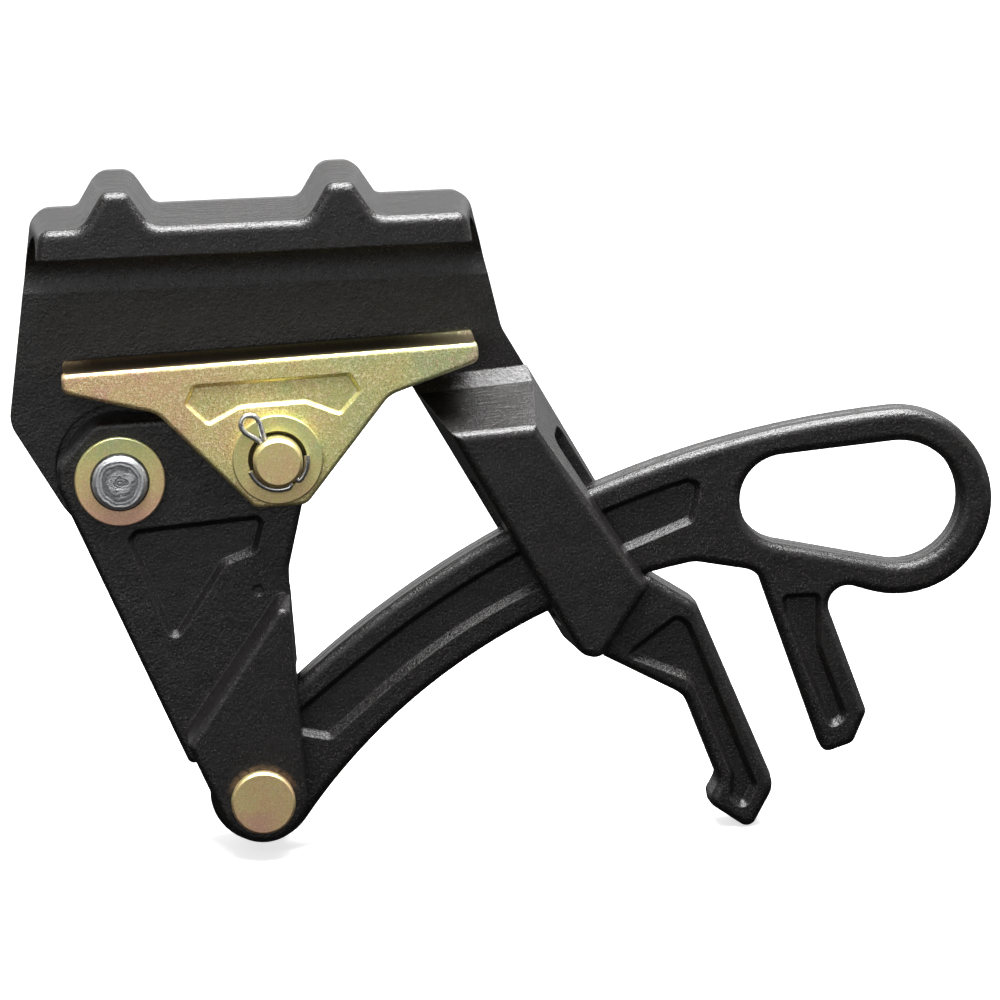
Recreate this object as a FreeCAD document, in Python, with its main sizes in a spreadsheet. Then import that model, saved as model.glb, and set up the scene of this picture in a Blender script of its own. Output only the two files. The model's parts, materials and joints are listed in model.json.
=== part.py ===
import FreeCAD, Part
import math
import os
import re
import Sketcher
from FreeCAD import Placement, Rotation, Vector

# Parallel-jaw cable grip.  The row frame has +X along the cable towards the pull, +Z up and
# the open side of the grip facing -Y.  Its origin is on the axis of the cable seat, halfway
# along the upper jaw.  Every outline is drawn in the XZ plane and clockwise as seen from -Y.

doc = FreeCAD.newDocument("CableGrip")
sheet = doc.addObject("Spreadsheet::Sheet", "Dimensions")
workings = doc.addObject("Spreadsheet::Sheet", "Workings")

DIMENSIONS = [
    # Upper jaw, which is the top of the body forging
    ("seat_length", 122.0, "upper jaw over its ends at the parting plane, which is the plate's front"),
    ("seat_radius", 13.2, "cable seat, broached into the upper jaw"),
    ("lip_height", 8.5, "lower edge of the upper jaw's front lip above the cable axis"),
    ("upper_jaw_top", 19.5, "top of the upper jaw above the cable axis"),
    ("upper_jaw_front", 13.0, "front of the upper jaw before the cable axis"),
    ("body_draft", 7.0, "forging draft of the upper jaw"),
    ("plate_draft", 5.0, "forging draft of the back plate"),
    ("lug_rise", 9.8, "lugs above the top of the upper jaw"),
    ("lug_width", 9.8, "flat top of a lug between its flanks"),
    ("lug_flank", 58.0, "slope of a lug's flanks"),
    ("lug_spacing", 62.0, "between the middles of the two lugs"),
    ("lug_offset", -6.5, "midpoint of the two lugs along the cable"),
    # Body: back plate, pivot lobe, neck, guide and finger hook
    ("plate_thickness", 11.0, "back plate"),
    ("plate_bottom", -27.5, "lower edge of the back plate over the open throat"),
    ("lobe_radius", 19.7, "pivot lobe of the body"),
    ("recess_radius", 18.0, "round recess in the lobe for the lever's hub"),
    ("recess_depth", 2.0, "depth of that recess"),
    ("guide_x", 82.6, "middle of the guide along the cable"),
    ("guide_z", -75.8, "middle of the guide below the cable axis"),
    ("guide_slope", 28.4, "rise of the pull bar's path through the guide"),
    ("guide_width", 31.0, "guide and neck across, along the pull bar's path"),
    ("guide_wall", 10.0, "front wall of the guide"),
    ("toe_height", 3.4, "toe that blends the guide's sloping end into the plate"),
    ("slot_height", 48.4, "slot of the guide along the neck"),
    ("slot_clearance", 1.25, "pull bar to each side wall of the slot"),
    ("hook_thickness", 14.4, "finger hook"),
    ("hook_draft", 4.0, "forging draft of the finger hook"),
    # Lever
    ("pivot_x", -40.0, "body pivot along the cable"),
    ("pivot_z", -55.0, "body pivot below the cable axis"),
    ("jaw_arm", 44.3, "body pivot to jaw pin"),
    ("jaw_arm_angle", 6.8, "rise of the jaw arm with the grip fully open"),
    ("pull_arm", 99.0, "body pivot to pull pin"),
    ("pull_arm_angle", 68.9, "fall of the pull arm with the grip fully open"),
    ("lever_thickness", 12.5, "lever between the walls of the lower jaw"),
    ("hub_radius", 16.0, "lever's rear hub at the body pivot"),
    ("dimple_radius", 1.7, "hardness-test dimple in the lever's front"),
    ("dimple_depth", 0.7, "depth of that dimple"),
    ("cheek_thickness", 8.4, "each cheek of the lever's fork"),
    ("cheek_radius", 12.3, "rounded end of the fork about the pull pin"),
    # Lower jaw
    ("jaw_length", 115.6, "gripping face of the lower jaw"),
    ("jaw_height", 28.1, "gripping face above the jaw pin"),
    ("jaw_bar", 5.8, "solid bar under the gripping face"),
    ("jaw_wall", 5.6, "front and rear walls of the lower jaw"),
    ("jaw_groove_radius", 22.0, "shallow cable groove of the lower jaw"),
    ("jaw_groove_depth", 1.8, "depth of that groove"),
    ("jaw_panel_recess", 1.2, "panel in the front wall of the lower jaw"),
    ("jaw_tilt", 1.8, "rise of the lower jaw towards the pull when fully open"),
    # Pull shank
    ("shank_thickness", 12.5, "pull shank"),
    ("shank_end_radius", 14.8, "round end of the pull shank about the pull pin"),
    ("eye_reach", 96.3, "middle of the guide to the middle of the eye's pull end"),
    ("eye_rise", 3.2, "that middle above the middle of the guide"),
    ("eye_radius", 17.7, "pull end of the eye's opening"),
    ("eye_heel_radius", 12.9, "other end of the eye's opening"),
    ("eye_heel_reach", 32.1, "between the middles of the eye's two ends"),
    ("eye_rim", 9.1, "rim of metal round the pull end"),
    ("web_recess", 2.2, "panels recessed into the shank, the lever and the hook"),
    ("panel_draft", 38.0, "slope of the sides of those panels"),
    # Pins, washers and cotter
    ("body_pin_diameter", 15.9, "rivet of the body pivot"),
    ("rivet_head", 25.0, "formed head of the rivet behind the body"),
    ("rivet_head_thickness", 6.0, "thickness of that head"),
    ("peen_spread", 0.35, "peened ends beyond their pins, radial"),
    ("peen_height", 2.4, "peened ends beyond their washers"),
    ("jaw_pin_diameter", 13.8, "clevis pin of the lower jaw"),
    ("jaw_pin_head", 19.0, "flat head of the clevis pin, sunk into the jaw's back wall"),
    ("jaw_pin_head_thickness", 2.6, "thickness of that head"),
    ("jaw_pin_nose", 5.4, "clevis pin beyond its washer"),
    ("pull_pin_diameter", 13.8, "pin of the pull shank"),
    ("pull_pin_head", 18.0, "flat head of the pull pin"),
    ("pull_pin_head_thickness", 2.6, "thickness of that head"),
    ("washer_diameter", 25.2, "plated washers"),
    ("washer_thickness", 2.3, "plated washers"),
    ("jaw_washer_bore", 16.4, "loose bore of the jaw pin's washer"),
    ("cotter_diameter", 3.0, "cotter pin in its hole"),
    ("cotter_wire", 1.5, "each leg of the cotter pin"),
    ("cotter_loop_width", 6.0, "loop of the cotter pin across"),
    ("cotter_loop_length", 8.6, "loop of the cotter pin beyond the clevis pin"),
    ("cotter_turn", 34.0, "turn of the clevis pin and its cotter from upright, towards the pivot"),
    # Roundings of the forgings' edges
    ("jaw_top_rounding", 2.6, "upper jaw's front edges and the plate's back edges"),
    ("guide_rounding", 2.4, "front edges of the guide"),
    ("hook_rounding", 2.2, "finger hook"),
    ("web_rounding", 1.8, "lever's web"),
    ("cheek_rounding", 2.0, "cheeks of the lever's fork"),
    ("lower_jaw_rounding", 1.3, "lower jaw"),
    ("shank_rounding", 2.6, "pull shank"),
    # Clearances
    ("pin_clearance", 0.05, "radial, pins in their holes"),
    ("side_clearance", 0.3, "between moving faces that slide on each other"),
]

for row, (alias, number, meaning) in enumerate(DIMENSIONS, start=1):
    sheet.set(f"A{row}", alias)
    sheet.set(f"B{row}", str(number))
    sheet.set(f"C{row}", meaning)
    sheet.setAlias(f"B{row}", alias)
doc.recompute()

ALIASES = {alias for alias, _, _ in DIMENSIONS}
TOUCHING = 1e-3


def cell(formula):
    """Formula over the sheet's aliases, as an expression for another object's property."""
    return re.sub(r"[a-z]\w*", lambda word: "Dimensions." + word[0] if word[0] in ALIASES else word[0], formula)


def size(formula):
    """Value of such a formula."""
    workings.set("A1", "=" + cell(formula))
    workings.recompute()
    return float(workings.get("A1"))


# ---------------------------------------------------------------- drawing helpers


def tip_of(piece):
    return piece.Tip.Shape


def origin_plane(piece, role):
    return next(plane for plane in piece.Origin.OriginFeatures if plane.Role == role)


def new_body(label):
    piece = doc.addObject("PartDesign::Body", label)
    piece.Label = label
    return piece


def new_sketch(piece, name, depth="0", role="XZ_Plane", rise="0", turn=0.0):
    """Sketch parallel to an origin plane.  On XZ_Plane, depth is how far it lies towards -Y."""
    drawing = piece.newObject("Sketcher::SketchObject", name)
    drawing.AttachmentSupport = [(origin_plane(piece, role), "")]
    drawing.MapMode = "FlatFace"
    drawing.AttachmentOffset = Placement(Vector(), Rotation(Vector(1, 0, 0), turn))
    drawing.setExpression(".AttachmentOffset.Base.z", cell(depth))
    drawing.setExpression(".AttachmentOffset.Base.y", cell(rise))
    return drawing


def draw_corners(drawing, corners):
    """Closed outline of straight sides; each corner is (x, z, radius of its rounding)."""
    points = [Vector(x, z, 0) for x, z, _ in corners]
    runs = []
    for index, (_, _, radius) in enumerate(corners):
        here = points[index]
        back = (points[index - 1] - here).normalize()
        ahead = (points[(index + 1) % len(points)] - here).normalize()
        if radius == 0:
            runs.append((here, None, here))
            continue
        half = back.getAngle(ahead) / 2
        reach = radius / math.tan(half)
        centre = here + (back + ahead).normalize() * (radius / math.sin(half))
        middle = centre + (here - centre).normalize() * radius
        runs.append((here + back * reach, middle, here + ahead * reach))
    for index, (start, middle, end) in enumerate(runs):
        before = runs[index - 1][2]
        if (start - before).Length > 1e-6:
            drawing.addGeometry(Part.LineSegment(before, start), False)
        if middle is not None:
            drawing.addGeometry(Part.Arc(start, middle, end), False)


def draw_belt(drawing, circles):
    """Closed outline of arcs joined by common tangents.  Each circle is (x, z, radius): a
    positive radius bulges outwards, a negative one is a hollow.  It runs clockwise."""
    joins = []
    for index, (x, z, radius) in enumerate(circles):
        next_x, next_z, next_radius = circles[(index + 1) % len(circles)]
        gap = math.hypot(next_x - x, next_z - z)
        lean = math.acos(max(-1.0, min(1.0, (radius - next_radius) / gap)))
        normal = math.atan2(next_z - z, next_x - x) + lean
        across = Vector(math.cos(normal), math.sin(normal), 0)
        leaving = Vector(x, z, 0) + across * radius
        arriving = Vector(next_x, next_z, 0) + across * next_radius
        # Circles that touch from the inside meet at one point, with no straight between them.
        joins.append((leaving, leaving if (arriving - leaving).Length < TOUCHING else arriving))
    for index, (x, z, radius) in enumerate(circles):
        start, end = joins[index - 1][1], joins[index][0]
        centre = Vector(x, z, 0)
        first = math.atan2(start.y - z, start.x - x)
        last = math.atan2(end.y - z, end.x - x)
        sweep = (first - last) % (2 * math.pi) if radius > 0 else -((last - first) % (2 * math.pi))
        halfway = first - sweep / 2
        middle = centre + Vector(math.cos(halfway), math.sin(halfway), 0) * abs(radius)
        drawing.addGeometry(Part.Arc(start, middle, end), False)
        if (joins[index][1] - end).Length > TOUCHING:
            drawing.addGeometry(Part.LineSegment(end, joins[index][1]), False)


def draw_circle(drawing, radius, x="0", z="0"):
    """Circle whose radius and middle are bound to the sheet."""
    centre = Vector(size(x), size(z), 0)
    index = drawing.addGeometry(Part.Circle(centre, Vector(0, 0, 1), size(radius)), False)
    number = drawing.addConstraint(Sketcher.Constraint("Radius", index, size(radius)))
    drawing.setExpression(f"Constraints[{number}]", cell(radius))
    for kind, formula in (("DistanceX", x), ("DistanceY", z)):
        if formula != "0":
            number = drawing.addConstraint(Sketcher.Constraint(kind, -1, 1, index, 3, size(formula)))
            drawing.setExpression(f"Constraints[{number}]", cell(formula))


def pad(piece, name, drawing, length, draft="0", away=False):
    """Pad towards -Y, or away from it, whose sides lean in by the draft angle."""
    feature = piece.newObject("PartDesign::Pad", name)
    feature.Profile = drawing
    feature.setExpression("Length", cell(length))
    feature.setExpression("TaperAngle", cell("0 - " + draft))
    feature.Reversed = away
    doc.recompute()
    return feature


def symmetric(feature, drawing, length):
    feature.Profile = drawing
    feature.setExpression("Length", cell(length))
    feature.SideType = "Symmetric"
    doc.recompute()
    return feature


def pad_both_ways(piece, name, drawing, length):
    return symmetric(piece.newObject("PartDesign::Pad", name), drawing, length)


def cut(piece, name, drawing, length, both_ways=False, away=False, draft="0"):
    """Pocket whose volume must really leave the solid; its sides may lean in by a draft angle."""
    before = tip_of(piece).Volume
    feature = piece.newObject("PartDesign::Pocket", name)
    if both_ways:
        symmetric(feature, drawing, length)
    else:
        feature.Profile = drawing
        feature.setExpression("Length", cell(length))
        feature.setExpression("TaperAngle", cell("0 - " + draft))
        feature.Reversed = away
        doc.recompute()
    if feature.Shape.Volume >= before - 1e-3:
        raise ValueError(f"{name} cuts nothing")
    return feature


def loft(piece, name, lower, upper):
    feature = piece.newObject("PartDesign::AdditiveLoft", name)
    feature.Profile = lower
    feature.Sections = [upper]
    feature.Ruled = True
    doc.recompute()
    return feature


def edges_where(piece, test):
    return [f"Edge{number}" for number, edge in enumerate(tip_of(piece).Edges, start=1) if test(edge)]


def lies_at(edge, depth):
    """Whether an edge lies in the plane y = depth."""
    box = edge.BoundBox
    return abs(box.YMin - depth) < 1e-3 and abs(box.YMax - depth) < 1e-3


def fillet(piece, name, edges, radius):
    base = piece.Tip
    feature = piece.newObject("PartDesign::Fillet", name)
    feature.Base = (base, edges)
    feature.setExpression("Radius", cell(radius))
    doc.recompute()
    return feature


def put(piece, x, z, tilt="0"):
    piece.Placement = Placement(Vector(), Rotation(Vector(0, -1, 0), 10))
    piece.setExpression("Placement.Base.x", cell(x))
    piece.setExpression("Placement.Base.z", cell(z))
    piece.setExpression("Placement.Rotation.Angle", cell(tilt))
    doc.recompute()
    return piece


# ---------------------------------------------------------------- places shared by the pieces

JAW_PIN_X = "pivot_x + jaw_arm * cos(jaw_arm_angle * 1deg)"
JAW_PIN_Z = "pivot_z + jaw_arm * sin(jaw_arm_angle * 1deg)"
PULL_PIN_X = "pivot_x + pull_arm * cos(pull_arm_angle * 1deg)"
PULL_PIN_Z = "pivot_z - pull_arm * sin(pull_arm_angle * 1deg)"

JAW_INSIDE = "lever_thickness / 2 + side_clearance"
JAW_OUTSIDE = JAW_INSIDE + " + jaw_wall"
PLATE_FRONT = JAW_OUTSIDE + " + side_clearance"
PLATE_BACK = PLATE_FRONT + " + plate_thickness"
SLOT_SIDE = "shank_thickness / 2 + slot_clearance"
GUIDE_FRONT = SLOT_SIDE + " + guide_wall"
CHEEK_INSIDE = "shank_thickness / 2 + side_clearance"
CHEEK_OUTSIDE = CHEEK_INSIDE + " + cheek_thickness"
HUB_END = PLATE_FRONT + " + recess_depth - side_clearance"
COTTER_DEPTH = "0 - (" + JAW_OUTSIDE + ") - washer_thickness - cotter_diameter / 2 - 0.2"

pivot = Vector(size("pivot_x"), size("pivot_z"), 0)
jaw_pin = Vector(size(JAW_PIN_X), size(JAW_PIN_Z), 0)
pull_pin = Vector(size(PULL_PIN_X), size(PULL_PIN_Z), 0)
guide_middle = Vector(size("guide_x"), size("guide_z"), 0)
slope = math.radians(size("guide_slope"))
along_bar = Vector(math.cos(slope), math.sin(slope), 0)
down_neck = Vector(math.sin(slope), -math.cos(slope), 0)


def in_guide(along, down, radius=0.0):
    """Corner given from the middle of the guide: along the pull bar and down the neck."""
    point = guide_middle + along_bar * along + down_neck * down
    return (point.x, point.y, radius)


def tangent_corner(before, after, centre, radius):
    """Corner of the two sides that leave points before and after and touch one circle."""
    sides = []
    for point, hand in ((before, 1), (after, -1)):
        to_centre = centre - point
        heading = math.atan2(to_centre.y, to_centre.x) + hand * math.asin(radius / to_centre.Length)
        sides.append((point, Vector(math.cos(heading), math.sin(heading), 0)))
    (first, way), (second, other_way) = sides
    gap = second - first
    run = (gap.x * other_way.y - gap.y * other_way.x) / (way.x * other_way.y - way.y * other_way.x)
    corner = first + way * run
    return (corner.x, corner.y, radius)


def touching_circle(*touched):
    """Middle and radius of the circle whose middle is its radius plus a step from each point."""
    (p, p_step), (q, q_step), (r, r_step) = touched
    # Taking the first condition from the other two leaves two lines in x and z.
    rows = []
    for point, step in ((q, q_step), (r, r_step)):
        rows.append((2 * (point.x - p.x), 2 * (point.y - p.y), 2 * (p_step - step),
                     point.Length ** 2 - p.Length ** 2 + p_step ** 2 - step ** 2))
    (a, b, c, d), (e, f, g, h) = rows
    scale = a * f - b * e
    base = Vector((d * f - b * h) / scale, (a * h - d * e) / scale, 0) - p
    lean = Vector((c * f - b * g) / scale, (a * g - c * e) / scale, 0)
    square, linear, rest = lean.dot(lean) - 1, base.dot(lean) - p_step, base.dot(base) - p_step ** 2
    root = math.sqrt(linear ** 2 - square * rest)
    radius = min(value for value in ((-linear - root) / square, (-linear + root) / square) if value > 0)
    return p + base + lean * radius, radius


# ---------------------------------------------------------------- body forging

HOOK = [in_guide(-4, 20), in_guide(10, 18), in_guide(15.5, 24.5), in_guide(22.8, 38.2, 5),
        in_guide(15.5, 96.5, 7), in_guide(2.5, 104.5, 3.2), in_guide(-4.4, 90.3, 3.2), in_guide(2, 86.3, 3.5),
        in_guide(6, 60, 9), in_guide(-8, 38)]
HOOK_PANEL = [in_guide(-3, 40, 2), in_guide(16.5, 37.5, 3), in_guide(18.5, 42, 3), in_guide(11.2, 93.5, 3),
              in_guide(3.6, 98.5, 2.5), in_guide(2.2, 92, 2.4), in_guide(6, 86, 4), in_guide(10, 57, 6)]


def body_forging():
    """Upper jaw, back plate, pivot lobe, neck, shank guide and finger hook in one forging."""
    piece = new_body("body_forging")
    neck = size("guide_width") / 2
    lobe = size("lobe_radius")
    front, back = size(PLATE_FRONT), size(PLATE_BACK)
    guide_foot = [in_guide(neck, 26.5, 5), in_guide(-8, 38, 5), in_guide(-neck, 33.5, 5)]

    # Finger hook below the guide, in the plane of the pull bar.
    for name, away in (("hook_front", False), ("hook_back", True)):
        drawing = new_sketch(piece, name + "_outline")
        draw_corners(drawing, HOOK)
        pad(piece, name, drawing, "hook_thickness / 2", "hook_draft", away)
    hook = size("hook_thickness") / 2
    for name, depth in (("hook_front_edges", -hook), ("hook_back_edges", hook)):
        fillet(piece, name, edges_where(piece, lambda edge: lies_at(edge, depth)), "hook_rounding")

    # Guide: a drafted box raised from the neck, its upper end sloping down from the plate.
    foot_of_guide = new_sketch(piece, "guide_foot", "0 - (" + PLATE_FRONT + ")")
    draw_corners(foot_of_guide, [in_guide(-neck, -53), in_guide(neck, -39)] + guide_foot)
    face_of_guide = new_sketch(piece, "guide_face", GUIDE_FRONT)
    draw_corners(face_of_guide, [in_guide(-neck + 4, -41.5), in_guide(neck - 6.2, -31.5),
                                 in_guide(neck - 2.2, 24.5, 4), in_guide(-8.5, 35.5, 4),
                                 in_guide(-neck + 3.3, 31.5, 4)])
    loft(piece, "guide", foot_of_guide, face_of_guide)
    guide_front = -size(GUIDE_FRONT)
    fillet(piece, "guide_front_edges", edges_where(piece, lambda edge: lies_at(edge, guide_front)), "guide_rounding")

    # Toe of the sloping end, where the die is blended from the plate into the guide.
    rise = size("toe_height")
    share = rise / size(GUIDE_FRONT + " + " + PLATE_FRONT)
    toe_foot = new_sketch(piece, "toe_foot", "0 - (" + PLATE_FRONT + ")")
    draw_corners(toe_foot, [in_guide(-neck, -53 - rise), in_guide(neck, -39 - rise),
                            in_guide(neck, -20), in_guide(-neck, -20)])
    toe_face = new_sketch(piece, "toe_face", "toe_height - (" + PLATE_FRONT + ")")
    draw_corners(toe_face, [in_guide(-neck + 4 * share, -53 + 11.5 * share),
                            in_guide(neck - 6.2 * share, -39 + 7.5 * share),
                            in_guide(neck - 6.2 * share, -20), in_guide(-neck + 4 * share, -20)])
    loft(piece, "guide_toe", toe_foot, toe_face)

    # Back half, behind the parting plane: upper jaw, plate, lobe and neck, open below like a U.
    half, top = size("seat_length") / 2, size("upper_jaw_top")
    left_end, shoulder = Vector(-half - 9.4, -41, 0), Vector(half + 8.3, -20, 0)
    flat = size("lug_width") / 2
    foot = flat + size("lug_rise") / math.tan(math.radians(size("lug_flank")))
    crest = top + size("lug_rise")
    crown = [(-half, top, 6)]
    for middle in (size("lug_offset - lug_spacing / 2"), size("lug_offset + lug_spacing / 2")):
        crown += [(middle - foot, top, 3), (middle - flat, crest, 5.6),
                  (middle + flat, crest, 5.6), (middle + foot, top, 3)]
    crown.append((half, top, 6))
    throat_down = (size("plate_bottom") - guide_middle.y + neck * along_bar.y) / down_neck.y
    plate = new_sketch(piece, "plate_outline", "0 - (" + PLATE_FRONT + ")")
    draw_corners(plate, [(left_end.x, left_end.y, 9)] + crown + [(shoulder.x, shoulder.y, 10)] + guide_foot + [
        in_guide(-neck, throat_down, 9),
        (pivot.x + lobe, size("plate_bottom"), 8),
        (pivot.x + lobe, pivot.y - lobe, lobe),
        lobe_corner(left_end, lobe)])
    pad(piece, "plate", plate, "plate_thickness", "plate_draft", away=True)
    fillet(piece, "plate_back_edges", edges_where(piece, lambda edge: lies_at(edge, back)), "jaw_top_rounding")

    # Front half of the upper jaw with its lugs, drafted forwards from the parting plane.
    under = -2
    left_under = -half + (left_end.x + half) * (top - under) / (top - left_end.y)
    right_under = half + (shoulder.x - half) * (top - under) / (top - shoulder.y)
    block = new_sketch(piece, "upper_jaw_outline", "0 - (" + PLATE_FRONT + ")")
    draw_corners(block, [(left_under, under, 0)] + crown + [(right_under, under, 0)])
    pad(piece, "upper_jaw", block, PLATE_FRONT + " + upper_jaw_front", "body_draft")
    nose = -size("upper_jaw_front")
    fillet(piece, "upper_jaw_edges", edges_where(
        piece, lambda edge: lies_at(edge, nose) and edge.BoundBox.ZMax > 4), "jaw_top_rounding")

    # Space in front of the plate, with the round cable seat broached under the upper jaw.
    seat, lip = size("seat_radius"), size("lip_height")
    lip_inside = -math.sqrt(seat ** 2 - lip ** 2)
    seat_end = -math.sqrt(seat ** 2 - front ** 2)
    space = new_sketch(piece, "seat_profile", role="YZ_Plane")
    before_all = -size("upper_jaw_front") - 10
    under = -18
    points = [Vector(lip_inside, lip, 0), Vector(before_all, lip, 0), Vector(before_all, under, 0),
              Vector(front, under, 0), Vector(front, seat_end, 0)]
    for start, end in zip(points, points[1:]):
        space.addGeometry(Part.LineSegment(start, end), False)
    space.addGeometry(Part.Arc(points[-1], Vector(0, seat, 0), points[0]), False)
    cut(piece, "cable_seat", space, "seat_length * 1.5", both_ways=True)

    # Slot through the guide for the pull bar, square to the neck.
    slot = new_sketch(piece, "guide_slot_section", "guide_x", "YZ_Plane", "guide_z", -size("guide_slope"))
    reach, side = size("slot_height / 2"), size(SLOT_SIDE)
    draw_corners(slot, [(-side, -reach, 4), (-side, reach, 4), (side, reach, 4), (side, -reach, 4)])
    cut(piece, "guide_slot", slot, "guide_width * 1.6", both_ways=True)

    # Panel recessed into each side of the finger hook.
    for name, depth, away in (("front_panel", "hook_thickness / 2", False),
                              ("back_panel", "0 - hook_thickness / 2", True)):
        panel = new_sketch(piece, "hook_" + name + "_outline", depth)
        draw_corners(panel, HOOK_PANEL)
        cut(piece, "hook_" + name, panel, "web_recess", away=away, draft="panel_draft")

    # Round recess and hole for the lever's hub and the pivot rivet in the lobe.
    recess = new_sketch(piece, "hub_recess_circle", "0 - (" + PLATE_FRONT + ")")
    draw_circle(recess, "recess_radius", "pivot_x", "pivot_z")
    cut(piece, "hub_recess", recess, "recess_depth")
    hole = new_sketch(piece, "pivot_hole_circle")
    draw_circle(hole, "body_pin_diameter / 2 + pin_clearance", "pivot_x", "pivot_z")
    cut(piece, "pivot_hole", hole, "200", both_ways=True)
    return piece


def lobe_corner(left_end, lobe):
    """Corner under the lobe between the plate's left side and the lobe's level underside."""
    to_pivot = pivot - left_end
    heading = math.atan2(to_pivot.y, to_pivot.x) - math.asin(lobe / to_pivot.Length)
    fall = (pivot.y - lobe - left_end.y) / math.sin(heading)
    return (left_end.x + math.cos(heading) * fall, pivot.y - lobe, lobe)


# ---------------------------------------------------------------- lever

LEVER_PANEL = [(1, -17), (3.5, -14.2), (40.5, -11.6), (37.3, -22.5), (28.3, -25.8), (12.6, -49)]


def lever():
    """Three-cornered lever: hubs for the rivet and the jaw pin, and a fork for the pull pin.
    It is drawn about the body pivot."""
    piece = new_body("lever")
    half = size("lever_thickness / 2")
    to_jaw, to_pull = jaw_pin - pivot, pull_pin - pivot

    # Web between the walls of the lower jaw.  Its lower side leaves room for the pull shank.
    root_right, root_left = to_pull + Vector(10.6, 37, 0), to_pull + Vector(-19.6, 8, 0)
    web = new_sketch(piece, "web_outline")
    draw_corners(web, [(-17.4, -1.5, 6), (-17.4, 5, 4), (-6.4, 16.4, 6),
                       (to_jaw.x + 13.4, to_jaw.y + 12.3, 12.3), (to_jaw.x + 2, to_jaw.y - 33, 8),
                       (root_right.x, root_right.y, 2), (root_left.x, root_left.y, 2)])
    pad_both_ways(piece, "web", web, "lever_thickness")
    for name, depth in (("web_front_edges", -half), ("web_back_edges", half)):
        fillet(piece, name, edges_where(piece, lambda edge: lies_at(edge, depth)), "web_rounding")

    # Fork cheeks, stepped out from the web along a slanting line.
    for name, hand in (("front_cheek", 1), ("back_cheek", -1)):
        face = CHEEK_OUTSIDE if hand > 0 else "0 - (" + CHEEK_OUTSIDE + ")"
        sections = []
        for part, depth, spread, run in (("foot", "0", 1.0, 5.4), ("face", face, 0.0, 0.0)):
            right = to_pull + Vector(9.4 + spread, 59.0 + run, 0)
            left = to_pull + Vector(-20.4 - spread, 16.4 + run, 0)
            section = new_sketch(piece, f"{name}_{part}", depth)
            draw_corners(section, [(left.x, left.y, 2.2), (right.x, right.y, 2.2),
                                   tangent_corner(right, left, to_pull, size("cheek_radius") + spread)])
            sections.append(section)
        loft(piece, name, *sections)
        outside = -size(CHEEK_OUTSIDE) * hand
        fillet(piece, name + "_edges", edges_where(piece, lambda edge: lies_at(edge, outside)), "cheek_rounding")

    # Fork slot for the round end of the pull shank and its swing.
    reach = 60
    fork = new_sketch(piece, "fork_outline")
    draw_corners(fork, [(to_pull.x - reach, root_left.y, 0), (root_left.x, root_left.y, 0),
                        (root_right.x, root_right.y, 0), (to_pull.x + reach, root_right.y, 0),
                        (to_pull.x + reach, to_pull.y - reach, 0), (to_pull.x - reach, to_pull.y - reach, 0)])
    cut(piece, "fork_slot", fork, "2 * (" + CHEEK_INSIDE + ")", both_ways=True)

    # Round hub behind the web that turns in the recess of the lobe.
    hub = new_sketch(piece, "hub_circle", "0 - lever_thickness / 2 + 1")
    draw_circle(hub, "hub_radius")
    pad(piece, "hub", hub, HUB_END + " - lever_thickness / 2 + 1", away=True)

    # Three-sided panel recessed into the front and the back of the web.
    for name, depth, away in (("front_panel", "lever_thickness / 2", False),
                              ("back_panel", "0 - lever_thickness / 2", True)):
        panel = new_sketch(piece, name + "_outline", depth)
        draw_corners(panel, [(x, z, 2.6) for x, z in LEVER_PANEL])
        cut(piece, name, panel, "web_recess", away=away, draft="panel_draft")

    # Dimple left by the hardness test.
    dimple = new_sketch(piece, "dimple_circle", "lever_thickness / 2")
    draw_circle(dimple, "dimple_radius", "37", "0 - 33.5")
    cut(piece, "dimple", dimple, "dimple_depth", draft="panel_draft")

    # Holes for the rivet, the jaw pin and the pull pin.
    for name, bore, x, z in (("rivet_hole", "body_pin_diameter", "0", "0"),
                             ("jaw_pin_hole", "jaw_pin_diameter", JAW_PIN_X + " - pivot_x", JAW_PIN_Z + " - pivot_z"),
                             ("pull_pin_hole", "pull_pin_diameter", PULL_PIN_X + " - pivot_x",
                              PULL_PIN_Z + " - pivot_z")):
        hole = new_sketch(piece, name + "_circle")
        draw_circle(hole, bore + " / 2 + pin_clearance", x, z)
        cut(piece, name, hole, "200", both_ways=True)
    put(piece, "pivot_x", "pivot_z")
    return piece


# ---------------------------------------------------------------- lower jaw


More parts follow.
